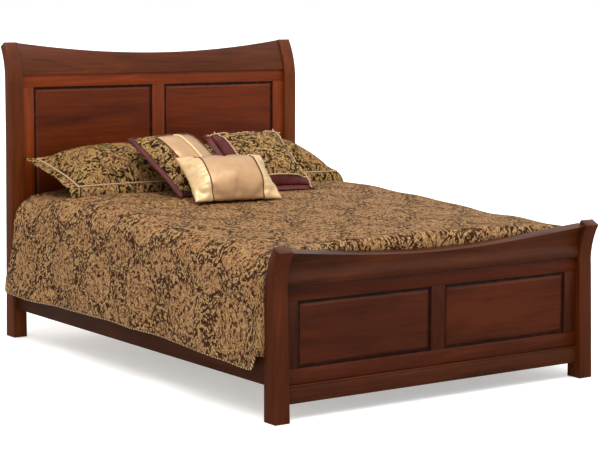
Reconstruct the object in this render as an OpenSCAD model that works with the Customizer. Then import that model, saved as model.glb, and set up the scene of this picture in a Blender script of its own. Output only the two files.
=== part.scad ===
// Queen size sleigh bed: two frame-and-panel boards with scrolled posts and
// scooped crests, hooked side rails, a slatted base with a centre support,
// a box spring, a mattress, a comforter and five pillows.
// Millimetres. +Z is up, the footboard is at -Y and the headboard at +Y.
// The origin is on the floor, in the middle of the bed.

/* [Bed size] */
// Clear length between the inner faces of the headboard and footboard posts
clear_length = 2087; // [2060:1:2540]
// Width over the outer faces of the posts
bed_width = 1612; // [1310:1:2050]
// Height of the headboard posts
headboard_height = 1383; // [1250:1:1700]
// Height of the footboard posts
footboard_height = 667; // [620:1:820]

/* [Posts] */
// Width of a post, across the bed
post_width = 66; // [60:1:90]
// Depth of a post at its waist, along the bed
post_waist = 57; // [52:1:70]
// Depth of a footboard post at the floor
foot_depth_footboard = 75; // [70:1:95]
// Depth of a headboard post at the floor
foot_depth_headboard = 82; // [72:1:100]
// Radius of the scroll on the inner face of a post
scroll_r_inner = 380; // [330:1:460]
// Radius of the scroll on the outer face of a post
scroll_r_outer = 300; // [270:1:360]
// Height of the scroll on the inner face of a post
scroll_h = 205; // [190:1:220]

/* [Crests] */
// Height of the headboard crest, from its bottom edge up to the top of the posts
headboard_crest_drop = 153; // [148:1:190]
// Height of the footboard crest, from its bottom edge up to the top of the posts
footboard_crest_drop = 157; // [154:1:175]
// Depth of the headboard crest's scoop at its middle, below the top of the posts
headboard_scoop_drop = 56; // [50:1:70]
// Depth of the footboard crest's scoop at its middle, below the top of the posts
footboard_scoop_drop = 75; // [68:1:82]
// Radius of the scooped top edge of both crests
scoop_r = 4640; // [4300:10:9000]

/* [Frame and panels] */
// Thickness of rails, stiles and mullions
frame_t = 22; // [18:1:26]
// How far the frames are set back from the faces of the posts
frame_setback = 18; // [12:1:22]
// Width of a stile
stile_w = 62; // [45:1:90]
// Width of a mullion
mullion_w = 68; // [50:1:90]
// Height of the frame top rails
top_rail_h = 57; // [45:1:80]
// Top of the footboard bottom rail, where its panels begin
footboard_panel_z = 196; // [175:1:240]
// Top of the headboard bottom rail, where its panels begin
headboard_panel_z = 560; // [480:1:640]
// Height of the headboard bottom rail
headboard_bottom_rail_h = 160; // [100:1:200]
// Depth of the panel grooves
groove_depth = 10; // [8:1:14]
// Room that a panel has to swell at each edge
panel_float = 1.5; // [1:0.5:3]
// Width of the sunk margin round a raised field
margin_w = 12; // [6:1:20]
// Width of the bevel round a raised field
bevel_w = 11; // [6:1:20]
// Bottom of the base rail under the footboard frame
base_rail_z = 67; // [50:1:75]
// Top of the base rail under the footboard frame
base_rail_top = 135; // [120:1:145]
// How far the base rail stands proud of the footboard frame
base_rail_proud = 12; // [6:1:16]

/* [Side rails and slats] */
// Thickness of a side rail
rail_t = 25; // [22:1:32]
// Height of a side rail
rail_h = 184; // [160:1:200]
// Bottom of a side rail above the floor
rail_z = 137; // [120:1:160]
// How far a rail is set in from the outer faces of the posts
rail_inset = 16; // [10:1:20]
// Thickness and height of a slat ledger
ledger = 25; // [20:1:30]
// Height of a ledger above the rail's bottom edge
ledger_up = 10; // [5:1:20]
// Width of a slat
slat_w = 89; // [60:1:120]
// Thickness of a slat
slat_t = 18; // [15:1:22]
// Gap between a slat's end and the rail
slat_gap = 2; // [1:0.5:6]

/* [Centre support] */
// Width of the centre beam
beam_w = 40; // [30:1:60]
// Height of the centre beam
beam_h = 60; // [45:1:70]
// Distance of a centre leg from the middle of the bed
leg_y = 510; // [300:1:800]
// Side of a centre leg
leg_w = 44; // [36:1:60]
// Length of thread that shows under a centre leg
leg_gap = 14; // [10:1:20]

/* [Hardware] */
// Height of a rail plate
plate_h = 130; // [110:1:140]
// Width of a rail plate
plate_w = 20; // [18:1:24]
// Thickness of a rail plate
plate_t = 3; // [2:0.5:4]
// Thickness of a plate's hook
hook_t = 4; // [3:0.5:5]
// How far a hook reaches into the post
hook_reach = 14; // [10:1:18]
// Diameter of a wood screw's shank
screw_d = 5; // [4:0.5:6]
// Diameter of a levelling foot's stem
stem_d = 8; // [6:1:10]
// Radial clearance of a levelling foot's stem
stem_clear = 0.08; // [0.05:0.01:0.1]
// Thickness of the glide under a post
glide_t = 2; // [1.5:0.5:4]

/* [Mattress and box spring] */
// Gap between the mattress and each side rail
mattress_gap = 3; // [2:1:6]
// Thickness of the mattress
mattress_h = 257; // [200:1:270]
// Height of the box spring
box_spring_h = 225; // [180:1:230]
// Gap between the mattress and the headboard posts
head_gap = 21; // [12:1:24]
// Gap between the mattress and the footboard posts
foot_gap = 34; // [24:1:60]

/* [Comforter] */
// Thickness of the comforter on top of the mattress
comforter_t = 24; // [18:1:30]
// Height of the comforter's hem above the floor
hem_z = 225; // [200:1:300]
// How far the hem stands out past the posts
hem_out = 20; // [16:1:30]
// Depth of the part tucked in behind the footboard
tuck_h = 240; // [150:1:260]
// Diameter of the cord along the hem
hem_cord_d = 12; // [8:1:14]

/* [Pillows] */
// Width of the mattress left over between and beside the pillow shams
sham_spare = 44; // [20:1:80]
// Height of a pillow sham with its flange
sham_h = 520; // [440:5:540]
// Width of a square pillow with its border
square_w = 430; // [360:5:440]
// Height of a square pillow with its border
square_h = 450; // [380:5:460]
// Width of the lumbar pillow
lumbar_w = 424; // [340:2:480]
// Height of the lumbar pillow
lumbar_h = 296; // [240:2:310]
// Clearance between loose pieces
loose_gap = 0.5; // [0.3:0.1:1]

/* [Hidden] */
$fn = 48;
eps = 0.01;

// Places shared by everything
inner_y = clear_length / 2;               // inner faces of both pairs of posts
span = bed_width / 2 - post_width;        // half the width between the posts
post_x = bed_width / 2 - post_width / 2;  // middle of a post
rail_out = bed_width / 2 - rail_inset;    // outer face of a side rail
rail_in = rail_out - rail_t;              // inner face of a side rail
rail_mid = rail_out - rail_t / 2;

// Scroll of a post: the outer curve starts lower down the face than it ends
nose_drop = 20;                           // the nose is below the top by this much
scroll_h_outer = scroll_h - 35;
arc_steps = 12;
waist_share = 0.72;                       // waist height as a share of the post
headboard_waist_z = 900;

// Joinery
tenon_t = 12;
tenon_l = 30;
tenon_inset = 10;
tongue_t = 8;
tongue_h = 10;
tongue_clear = 0.2;

// Crests
headboard_crest_z = headboard_height - headboard_crest_drop;
footboard_crest_z = footboard_height - footboard_crest_drop;
headboard_scoop_z = headboard_height - headboard_scoop_drop;
footboard_scoop_z = footboard_height - footboard_scoop_drop;

// Frames: y of the face that shows, with the wood behind it towards +Y
footboard_face_y = -(inner_y + post_waist - frame_setback - 2);
headboard_face_y = inner_y + frame_setback;
open_x = span - stile_w;
footboard_open_top = footboard_crest_z - top_rail_h;
headboard_open_top = headboard_crest_z - top_rail_h;
crest_tenon_h = 50;
crest_inset = 7;                          // crest faces stand in from the posts by this

// Slatted base
ledger_z = rail_z + ledger_up;
slat_z = ledger_z + ledger;
slat_top = slat_z + slat_t;
slat_half = rail_in - slat_gap;
slat_count = 5;
slat_pitch = (clear_length - 300) / (slat_count - 1);
beam_z = slat_z - beam_h;
beam_l = clear_length - 60;
leg_bottom = glide_t + 8 + leg_gap;
stem_top = leg_bottom + 26;
bolt_d = 8;
bolt_reach = 24;

// Rail plates
plate_z = rail_z + rail_h / 2 - plate_h / 2;
hook_h = 25;
hook_zs = [plate_z + 24, plate_z + plate_h - 24 - hook_h];
hook_room = 3;
screw_zs = [plate_z + 10, plate_z + plate_h / 2, plate_z + plate_h - 10];
screw_head_d = 9;
screw_l = 32;
ledger_end = 90;                          // last ledger screw, from the post
ledger_screw_ys = concat([for (i = [-1.5 : 1.5]) i * slat_pitch],
                         [ledger_end - inner_y, inner_y - ledger_end]);

// Bedding heights
mattress_z = slat_top + box_spring_h;
mattress_top = mattress_z + mattress_h;
bed_top = mattress_top + comforter_t + 2;
mattress_w = 2 * (rail_in - mattress_gap);
mattress_y1 = inner_y - head_gap;
mattress_y0 = -inner_y + foot_gap;
sham_w = (mattress_w - sham_spare) / 2;
corner_r = 60;
hem_x = bed_width / 2 + hem_out;
hem_t = 18;
comforter_y0 = -inner_y + 7;
comforter_y1 = mattress_y1 - 2;
crown = 6;
shoulder_r = 82;

function slat_y(i) = (i - (slat_count - 1) / 2) * slat_pitch;

function arc_pts(r, z0, h, t0) =
    let (a1 = asin(h / r))
    [for (i = [0 : arc_steps]) let (a = a1 * i / arc_steps) [t0 + r - r * cos(a), z0 + r * sin(a)]];

function reversed(v) = [for (i = [len(v) - 1 : -1 : 0]) v[i]];

// Side outline of a post: first value is the distance outwards from the inner face
function post_outline(top, foot_depth, waist_z) = concat(
    [[0, glide_t]],
    arc_pts(scroll_r_inner, top - scroll_h, scroll_h, 0),
    reversed(arc_pts(scroll_r_outer, top - scroll_h_outer, scroll_h_outer - nose_drop, post_waist)),
    [[post_waist + 1.5, waist_z], [foot_depth, glide_t]]
);

// Headboard crest: parallel to the posts' scroll, a little thinner than they are
function above(v, z) = [for (p = v) if (p[1] > z) p];
function headboard_crest_outline() =
    let (z0 = headboard_crest_z, rise = max(0, z0 - headboard_height + scroll_h))
    concat(
        [[crest_inset + scroll_r_inner - sqrt(pow(scroll_r_inner, 2) - pow(rise, 2)), z0]],
        above(arc_pts(scroll_r_inner, headboard_height - scroll_h, scroll_h + 12, crest_inset), z0 + 1),
        above(reversed(arc_pts(scroll_r_outer, headboard_height - scroll_h_outer,
                               scroll_h_outer - nose_drop, post_waist - crest_inset)), z0 + 1),
        [[post_waist - crest_inset, z0]]
    );

// Footboard crest: a rolled bottom edge, a neck and a cove that flares outwards
cove_r = 82;
neck_t = 44;
neck_up = 62;                             // the neck is this far above the bottom edge
roll_out = 10;                            // the roll stands out past the neck by this
roll_up = 18;
crest_back_r = 70;
function footboard_crest_outline() =
    let (z0 = footboard_crest_z, roll_z = z0 + roll_up, neck_z = z0 + neck_up)
    concat(
        [[crest_inset, z0], [neck_t + 3, z0]],
        [for (i = [0 : 4]) let (a = i * 90 / 4)
            [neck_t + 3 + (roll_out - 3) * sin(a), z0 + roll_up * (1 - cos(a))]],
        [for (i = [1 : 8]) let (a = i * 180 / 8)
            [neck_t + roll_out * (1 + cos(a)) / 2, roll_z + (neck_z - roll_z) * i / 8]],
        [for (i = [1 : 8]) let (a = i * 60 / 8)
            [neck_t + cove_r * (1 - cos(a)), neck_z + cove_r * sin(a)]],
        [[neck_t + cove_r / 2, neck_z + cove_r + 30],
         [crest_inset + crest_back_r * 0.55, neck_z + cove_r + 30]],
        [for (i = [8 : -1 : 0]) let (a = i * 63 / 8)
            [crest_inset + crest_back_r * (1 - cos(a)), neck_z + 20 + crest_back_r * sin(a)]]
    );

// Cross section of the base rail, with a bead along its upper front edge
bead_r = 3.5;

module along_x(len) { rotate([90, 0, 90]) linear_extrude(height = len, center = true) children(); }
module along_y(y0, y1) {
    translate([0, y1, 0]) rotate([90, 0, 0]) linear_extrude(height = y1 - y0) children();
}
module at_head() { translate([0, inner_y, 0]) children(); }
module at_foot() { translate([0, -inner_y, 0]) mirror([0, 1, 0]) children(); }
module both_sides() { children(); mirror([1, 0, 0]) children(); }
module box(lo, hi) { translate(lo) cube(hi - lo); }

// Block of a tenon at one end of a rail, in board places: y0 and y1 are its faces
module tenon(y0, y1, z0, z1) {
    mid = (y0 + y1) / 2;
    box([span - eps, mid - tenon_t / 2, z0 + tenon_inset],
        [span + tenon_l, mid + tenon_t / 2, z1 - tenon_inset]);
}

module rail_tenons(y0, y1, z0, z1) { both_sides() tenon(y0, y1, z0, z1); }

// Every mortise in the posts of a board is cut with the same blocks as the tenons
module headboard_tenons() {
    y = headboard_face_y;
    rail_tenons(y, y + frame_t, headboard_open_top, headboard_crest_z);
    rail_tenons(y, y + frame_t, headboard_panel_z - headboard_bottom_rail_h, headboard_panel_z);
    rail_tenons(inner_y + crest_inset, inner_y + post_waist - crest_inset,
                headboard_crest_z, headboard_crest_z + crest_tenon_h);
}

module footboard_tenons() {
    y = footboard_face_y;
    rail_tenons(y, y + frame_t, footboard_open_top, footboard_crest_z);
    rail_tenons(y, y + frame_t, base_rail_top, footboard_panel_z);
    rail_tenons(y - base_rail_proud, y + frame_t, base_rail_z, base_rail_top);
    rail_tenons(-inner_y - neck_t, -inner_y - crest_inset,
                footboard_crest_z, footboard_crest_z + crest_tenon_h);
}

// Room in a post for the catch plate, its screws and the hooks, on the +X side
module catch_room() {
    box([rail_mid - plate_w / 2, -eps, plate_z], [rail_mid + plate_w / 2, plate_t, plate_z + plate_h]);
    for (z = hook_zs)
        box([rail_mid - hook_t / 2 - hook_room, 0, z - hook_room],
            [rail_mid + hook_t / 2 + hook_room, hook_reach + hook_room, z + hook_h + hook_room]);
    for (z = screw_zs) translate([rail_mid, plate_t, z]) rotate([-90, 0, 0])
        cylinder(d = screw_d, h = screw_l - plate_t);
}

module glide_hole(y) { translate([post_x, y, glide_t - eps]) cylinder(d = 3, h = 14); }

// Post on the +X side of a board
module headboard_post() {
    difference() {
        at_head() translate([post_x, 0, 0]) along_x(post_width)
            polygon(post_outline(headboard_height, foot_depth_headboard, headboard_waist_z));
        headboard_tenons();
        at_head() catch_room();
        glide_hole(inner_y + foot_depth_headboard / 2);
    }
}

module footboard_post() {
    difference() {
        at_foot() translate([post_x, 0, 0]) along_x(post_width)
            polygon(post_outline(footboard_height, foot_depth_footboard, footboard_height * waist_share));
        footboard_tenons();
        at_foot() catch_room();
        glide_hole(-inner_y - foot_depth_footboard / 2);
    }
}

module headboard_post_left() { color("sienna") mirror([1, 0, 0]) headboard_post(); }
module headboard_post_right() { color("sienna") headboard_post(); }
module footboard_post_left() { color("sienna") mirror([1, 0, 0]) footboard_post(); }
module footboard_post_right() { color("sienna") footboard_post(); }

// Wood above the scooped top edge: an arc swept down and outwards at a slope
scoop_steps = 32;
module scoop(t, z, slope) {
    half = span + 10;
    arc = [for (i = [0 : scoop_steps]) let (x = half * (2 * i / scoop_steps - 1))
        [x, scoop_r - sqrt(pow(scoop_r, 2) - pow(x, 2))]];
    translate([0, t, z]) rotate([90 - slope, 0, 0])
        linear_extrude(height = 400, center = true) polygon(concat(arc, [[half, 300], [-half, 300]]));
}

// Tongue along the top of a frame top rail, under the crest
module crest_tongue(y, z) {
    box([-span, y + frame_t / 2 - tongue_t / 2, z - eps],
        [span, y + frame_t / 2 + tongue_t / 2, z + tongue_h]);
}

headboard_slope = 29;
footboard_slope = 17;
headboard_scoop_t = 39;
footboard_scoop_t = 47;

module headboard_crest() {
    color("saddlebrown") {
        difference() {
            at_head() along_x(2 * span) polygon(headboard_crest_outline());
            at_head() scoop(headboard_scoop_t, headboard_scoop_z, headboard_slope);
            crest_tongue(headboard_face_y, headboard_crest_z);
        }
        rail_tenons(inner_y + crest_inset, inner_y + post_waist - crest_inset,
                    headboard_crest_z, headboard_crest_z + crest_tenon_h);
    }
}

module footboard_crest() {
    color("saddlebrown") {
        difference() {
            at_foot() along_x(2 * span) polygon(footboard_crest_outline());
            at_foot() scoop(footboard_scoop_t, footboard_scoop_z, footboard_slope);
            crest_tongue(footboard_face_y, footboard_crest_z);
        }
        rail_tenons(-inner_y - neck_t, -inner_y - crest_inset,
                    footboard_crest_z, footboard_crest_z + crest_tenon_h);
    }
}

// Groove along X for panel edges and stile tenons: z is the edge it is cut from
module groove_x(y, z, dir) {
    z1 = z + dir * (groove_depth + eps);
    box([-span - eps, y + frame_t / 2 - tongue_t / 2, min(z, z1)],
        [span + eps, y + frame_t / 2 + tongue_t / 2, max(z, z1)]);
}

module top_rail(y, z0, z1) {
    difference() {
        box([-span, y, z0], [span, y + frame_t, z1]);
        groove_x(y, z0 - eps, 1);
    }
    crest_tongue(y, z1);
    rail_tenons(y, y + frame_t, z0, z1);
}

module bottom_rail(y, z0, z1) {
    difference() {
        box([-span, y, z0], [span, y + frame_t, z1]);
        groove_x(y, z1 + eps, -1);
    }
    rail_tenons(y, y + frame_t, z0, z1);
}

// Upright of the frame, with a stub tenon at each end that fills the rail grooves
module upright(y, x0, x1, z0, z1, groove_left, groove_right) {
    c = y + frame_t / 2;
    difference() {
        union() {
            box([x0, y, z0], [x1, y + frame_t, z1]);
            box([x0, c - tongue_t / 2, z0 - groove_depth], [x1, c + tongue_t / 2, z1 + groove_depth]);
        }
        if (groove_left)
            box([x0 - eps, c - tongue_t / 2, z0 - groove_depth - 1],
                [x0 + groove_depth, c + tongue_t / 2, z1 + groove_depth + 1]);
        if (groove_right)
            box([x1 - groove_depth, c - tongue_t / 2, z0 - groove_depth - 1],
                [x1 + eps, c + tongue_t / 2, z1 + groove_depth + 1]);
    }
}

// Raised panel on the +X side of the mullion
field_sink = 1;                           // the field is this far below the frame's face
margin_sink = 8;                          // and the margin round it is this far
module raised_panel(y, z0, z1) {
    c = y + frame_t / 2;
    g = groove_depth - panel_float;
    x0 = mullion_w / 2;
    x1 = open_x;
    m = margin_w;
    b = margin_w + bevel_w;
    edge = tongue_t / 2 - tongue_clear;
    box([x0 - g, c - edge, z0 - g], [x1 + g, c + edge, z1 + g]);
    box([x0 + m, c, z0 + m], [x1 - m, y + frame_t - 1, z1 - m]);
    hull() {
        box([x0 + m, y + margin_sink - 1, z0 + m], [x1 - m, c, z1 - m]);
        box([x0 + b, y + field_sink, z0 + b], [x1 - b, c, z1 - b]);
    }
}

module headboard_top_rail() {
    color("firebrick") top_rail(headboard_face_y, headboard_open_top, headboard_crest_z);
}
module headboard_bottom_rail() {
    color("firebrick")
        bottom_rail(headboard_face_y, headboard_panel_z - headboard_bottom_rail_h, headboard_panel_z);
}
module headboard_stile() {
    color("brown")
        upright(headboard_face_y, open_x, span, headboard_panel_z, headboard_open_top, true, false);
}
module headboard_stile_left() { mirror([1, 0, 0]) headboard_stile(); }
module headboard_stile_right() { headboard_stile(); }
module headboard_mullion() {
    color("brown")
        upright(headboard_face_y, -mullion_w / 2, mullion_w / 2,
                headboard_panel_z, headboard_open_top, true, true);
}
module headboard_panel() {
    color("maroon") raised_panel(headboard_face_y, headboard_panel_z, headboard_open_top);
}
module headboard_panel_left() { mirror([1, 0, 0]) headboard_panel(); }
module headboard_panel_right() { headboard_panel(); }

module footboard_top_rail() {
    color("firebrick") top_rail(footboard_face_y, footboard_open_top, footboard_crest_z);
}
module footboard_bottom_rail() {
    color("firebrick") bottom_rail(footboard_face_y, base_rail_top, footboard_panel_z);
}
module footboard_stile() {
    color("brown")
        upright(footboard_face_y, open_x, span, footboard_panel_z, footboard_open_top, true, false);
}
module footboard_stile_left() { mirror([1, 0, 0]) footboard_stile(); }
module footboard_stile_right() { footboard_stile(); }
module footboard_mullion() {
    color("brown")
        upright(footboard_face_y, -mullion_w / 2, mullion_w / 2,
                footboard_panel_z, footboard_open_top, true, true);
}
module footboard_panel() {
    color("maroon") raised_panel(footboard_face_y, footboard_panel_z, footboard_open_top);
}
module footboard_panel_left() { mirror([1, 0, 0]) footboard_panel(); }
module footboard_panel_right() { footboard_panel(); }

module footboard_base_rail() {
    front = footboard_face_y - base_rail_proud;
    back = footboard_face_y + frame_t;
    color("saddlebrown") {
        along_x(2 * span) union() {
            translate([front, base_rail_z]) square([back - front, base_rail_top - base_rail_z - 2 * bead_r]);
            translate([front + bead_r, base_rail_z])
                square([back - front - bead_r, base_rail_top - base_rail_z]);
            translate([front + bead_r, base_rail_top - bead_r]) circle(r = bead_r);
        }
        rail_tenons(front, back, base_rail_z, base_rail_top);
    }
}

// Side rail on the +X side, with a recess for a hook plate in each end
module side_rail() {
    difference() {
        box([rail_in, -inner_y, rail_z], [rail_out, inner_y, rail_z + rail_h]);
        for (e = [0, 1]) mirror([0, e, 0]) {
            box([rail_mid - plate_w / 2, inner_y - plate_t, plate_z],
                [rail_mid + plate_w / 2, inner_y + eps, plate_z + plate_h]);
            for (z = screw_zs) translate([rail_mid, inner_y, z]) rotate([90, 0, 0])
                cylinder(d = screw_d, h = screw_l);
        }
        for (y = ledger_screw_ys) ledger_screw(y);
    }
}

module side_rail_left() { color("saddlebrown") mirror([1, 0, 0]) side_rail(); }
module side_rail_right() { color("saddlebrown") side_rail(); }

// Screw through a ledger into its rail, from inside the bed
module ledger_screw(y) {
    translate([rail_in - ledger, y, ledger_z + ledger / 2]) rotate([0, 90, 0]) {
        cylinder(d = screw_d, h = ledger + rail_t - 6);
        cylinder(d = screw_head_d, h = 3);
    }
}

// Screw down through a slat
module slat_screw(x, y) {
    translate([x, y, slat_top]) mirror([0, 0, 1]) {
        cylinder(d = screw_d, h = slat_t + 15);
        cylinder(d = screw_head_d, h = 3);
    }
}

module slat_screws_at(y) { for (x = [-(rail_in - ledger / 2), 0, rail_in - ledger / 2]) slat_screw(x, y); }

module slat_ledger() {
    difference() {
        box([rail_in - ledger, -inner_y + 40, ledger_z], [rail_in, inner_y - 40, ledger_z + ledger]);
        for (y = ledger_screw_ys) ledger_screw(y);
        for (i = [0 : slat_count - 1]) slat_screws_at(slat_y(i));
    }
}

module slat_ledger_left() { color("peru") mirror([1, 0, 0]) slat_ledger(); }
module slat_ledger_right() { color("peru") slat_ledger(); }

module slat(i) {
    color("burlywood") difference() {
        box([-slat_half, slat_y(i) - slat_w / 2, slat_z], [slat_half, slat_y(i) + slat_w / 2, slat_top]);
        slat_screws_at(slat_y(i));
    }
}

module center_beam() {
    color("burlywood") difference() {
        box([-beam_w / 2, -beam_l / 2, beam_z], [beam_w / 2, beam_l / 2, slat_z]);
        for (i = [0 : slat_count - 1]) slat_screws_at(slat_y(i));
        for (s = [-1, 1]) leg_bolt(s * leg_y);
    }
}

// Bolt that joins a leg to the beam
module leg_bolt(y) { translate([0, y, beam_z - bolt_reach]) cylinder(d = bolt_d, h = 2 * bolt_reach); }

insert_d = 12;
insert_h = 18;
module leg_insert(y) {
    translate([0, y, leg_bottom]) difference() {
        cylinder(d = insert_d, h = insert_h);
        translate([0, 0, -1]) cylinder(d = stem_d + 2 * stem_clear, h = insert_h + 2);
    }
}

module center_leg(y) {
    color("burlywood") difference() {
        box([-leg_w / 2, y - leg_w / 2, leg_bottom], [leg_w / 2, y + leg_w / 2, beam_z]);
        leg_bolt(y);
        translate([0, y, leg_bottom - 1]) cylinder(d = insert_d, h = insert_h + 1);
        translate([0, y, leg_bottom]) cylinder(d = stem_d + 2 * stem_clear, h = stem_top - leg_bottom + 4);
    }
}

module leveling_foot(y) {
    color("dimgray") translate([0, y, 0]) {
        cylinder(d1 = 38, d2 = 34, h = 4);
        translate([0, 0, 4]) cylinder(d = 34, h = 4);
        cylinder(d = stem_d, h = stem_top);
        translate([0, 0, 8]) cylinder(d = 15, h = 5, $fn = 6);
    }
}

// Hook plate in the end of the +X rail at the headboard
module hook_plate() {
    difference() {
        union() {
            box([rail_mid - plate_w / 2, -plate_t, plate_z], [rail_mid + plate_w / 2, 0, plate_z + plate_h]);
            for (z = hook_zs) {
                box([rail_mid - hook_t / 2, -eps, z], [rail_mid + hook_t / 2, hook_reach, z + hook_h - 8]);
                box([rail_mid - hook_t / 2, -eps, z], [rail_mid + hook_t / 2, 5, z + hook_h]);
            }
        }
        for (z = screw_zs) translate([rail_mid, 1, z]) rotate([90, 0, 0])
            cylinder(d = screw_head_d, h = plate_t + 2);
    }
}

// Catch plate let into the post: two slots take the hooks
module catch_plate() {
    difference() {
        box([rail_mid - plate_w / 2, 0, plate_z], [rail_mid + plate_w / 2, plate_t, plate_z + plate_h]);
        for (z = hook_zs)
            box([rail_mid - hook_t / 2 - 1, -1, z - 1],
                [rail_mid + hook_t / 2 + 1, plate_t + 1, z + hook_h + 1]);
        for (z = screw_zs) translate([rail_mid, -1, z]) rotate([-90, 0, 0])
            cylinder(d = screw_head_d, h = plate_t + 2);
    }
}

module plate_screw(dir) {
    rotate([-90 * dir, 0, 0]) {
        cylinder(d = screw_head_d, h = plate_t);
        cylinder(d = screw_d, h = screw_l);
    }
}

module four_corners() { both_sides() { at_head() children(); at_foot() children(); } }

module rail_hook_plates() { color("slategray") four_corners() hook_plate(); }
module post_catch_plates() { color("slategray") four_corners() catch_plate(); }
module rail_plate_screws() {
    color("gray") four_corners() for (z = screw_zs) translate([rail_mid, 0, z]) plate_screw(-1);
}
module post_plate_screws() {
    color("gray") four_corners() for (z = screw_zs) translate([rail_mid, 0, z]) plate_screw(1);
}
module ledger_screws() { color("gray") both_sides() for (y = ledger_screw_ys) ledger_screw(y); }
module slat_screws() { color("gray") for (i = [0 : slat_count - 1]) slat_screws_at(slat_y(i)); }
module leg_bolts() { color("gray") for (s = [-1, 1]) leg_bolt(s * leg_y); }
module leg_inserts() { color("gold") for (s = [-1, 1]) leg_insert(s * leg_y); }
module post_glides() {
    color("black") both_sides() {
        for (y = [inner_y + foot_depth_headboard / 2, -inner_y - foot_depth_footboard / 2]) {
            translate([post_x, y, 0]) cylinder(d = 34, h = glide_t);
            translate([post_x, y, 0]) cylinder(d = 3, h = 14);
        }
    }
}

// Upright block with round corners
module soft_block(half_x, y0, y1, z0, z1, r) {
    translate([0, 0, z0]) linear_extrude(height = z1 - z0) union() {
        translate([-half_x, y0 + r]) square([2 * half_x, y1 - y0 - 2 * r]);
        translate([-half_x + r, y0]) square([2 * half_x - 2 * r, y1 - y0]);
        for (x = [-half_x + r, half_x - r], y = [y0 + r, y1 - r]) translate([x, y]) circle(r = r);
    }
}

module box_spring() {
    color("gainsboro")
        soft_block(mattress_w / 2 - 3, mattress_y0, mattress_y1, slat_top, mattress_z, corner_r);
}
module mattress() {
    color("whitesmoke")
        soft_block(mattress_w / 2, mattress_y0, mattress_y1, mattress_z, mattress_top, corner_r);
}

// Comforter: a slab over the mattress with a skirt down each side, and an end tucked in
mat_x = mattress_w / 2;
drape_x = rail_out + 1.5;                 // inner face of the skirt where it passes the rail
function comforter_outer() =
    let (sx = hem_x - 14 - shoulder_r, sz = bed_top - crown - shoulder_r)
    concat(
        [[hem_x, hem_z]],
        [for (i = [0 : 8]) let (a = i * 90 / 8) [sx + shoulder_r * cos(a), sz + shoulder_r * sin(a)]],
        [for (i = [1 : 7]) let (x = sx * (1 - i / 8)) [x, bed_top - crown * pow(x / sx, 2)]]
    );
function comforter_inner() =
    [[mat_x + 2, mattress_top + 1], [mat_x + 2, mattress_top - 60],
     [drape_x - 10, rail_z + rail_h + 120], [drape_x, rail_z + rail_h + 20], [hem_x - hem_t, hem_z]];
function flipped(v) = [for (p = reversed(v)) [-p[0], p[1]]];

module comforter() {
    outer = comforter_outer();
    inner = comforter_inner();
    color("darkkhaki") union() {
        along_y(comforter_y0, comforter_y1)
            polygon(concat(outer, [[0, bed_top]], flipped(outer),
                           flipped(inner), [[0, mattress_top + 1]], inner));
        box([-span + 4, comforter_y0, bed_top - tuck_h], [span - 4, mattress_y0 - 1, mattress_top + 10]);
    }
}

module comforter_hem_cord() {
    color("tan") both_sides()
        translate([hem_x - hem_t / 2, comforter_y1, hem_z - hem_cord_d / 2]) rotate([90, 0, 0])
            cylinder(d = hem_cord_d, h = comforter_y1 - comforter_y0);
}

// Pillow: a crowned grid of points on each side of a common edge.
// size is width and height, up and down are the crown's heights over and under the
// middle plane, flange is the flat border, and place is [x, y, z, tilt, turn].
grid = 12;
flange_t = 3;
pinch = 0.045;
function swell(u, f) = let (a = min(1, abs(u) / (1 - f))) pow(max(0, 1 - pow(a, 2.4)), 0.62);
function pillow_local(size, up, down, flange, i, j, side) =
    let (u = 2 * i / grid - 1, v = 2 * j / grid - 1,
         s = swell(u, 2 * flange / size[0]) * swell(v, 2 * flange / size[1]),
         edge = i == 0 || i == grid || j == 0 || j == grid)
    [u * size[0] / 2 * (1 - pinch * (1 - v * v)), v * size[1] / 2 * (1 - pinch * (1 - u * u)),
     edge ? 0 : side * (flange_t + s * (side > 0 ? up : down))];
function placed(p, place, lift) =
    let (t = place[3], a = place[4],
         y1 = p[1] * cos(t) - p[2] * sin(t), z1 = p[1] * sin(t) + p[2] * cos(t))
    [place[0] + p[0] * cos(a) - y1 * sin(a),
     min(place[1] + p[0] * sin(a) + y1 * cos(a), inner_y - 4),
     max(place[2] + z1, bed_top + loose_gap + lift)];
function rim(i, j) = i == 0 || i == grid || j == 0 || j == grid;
function top_id(i, j) = i * (grid + 1) + j;
function low_id(i, j) = rim(i, j) ? top_id(i, j) : (grid + 1) * (grid + 1) + (i - 1) * (grid - 1) + j - 1;

// A cell's diagonal runs from the middle to the nearest corner, so no triangle lies in the rim
function same_half(c) = (c[0] < grid / 2) == (c[1] < grid / 2);
function split(a, b, c, d, main) = main ? [[a, b, c], [a, c, d]] : [[a, b, d], [b, c, d]];

module pillow(size, up, down, flange, place) {
    pts = concat(
        [for (i = [0 : grid], j = [0 : grid])
            placed(pillow_local(size, up, down, flange, i, j, 1), place,
                   rim(i, j) ? flange_t : 2 * flange_t)],
        [for (i = [1 : grid - 1], j = [1 : grid - 1])
            placed(pillow_local(size, up, down, flange, i, j, -1), place, 0)]);
    cells = [for (i = [0 : grid - 1], j = [0 : grid - 1]) [i, j]];
    polyhedron(pts, concat(
        [for (c = cells, f = split(top_id(c[0], c[1]), top_id(c[0], c[1] + 1), top_id(c[0] + 1, c[1] + 1),
                                   top_id(c[0] + 1, c[1]), same_half(c))) f],
        [for (c = cells, f = split(low_id(c[0], c[1]), low_id(c[0], c[1] + 1), low_id(c[0] + 1, c[1] + 1),
                                   low_id(c[0] + 1, c[1]), same_half(c))) reversed(f)]));
}

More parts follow.
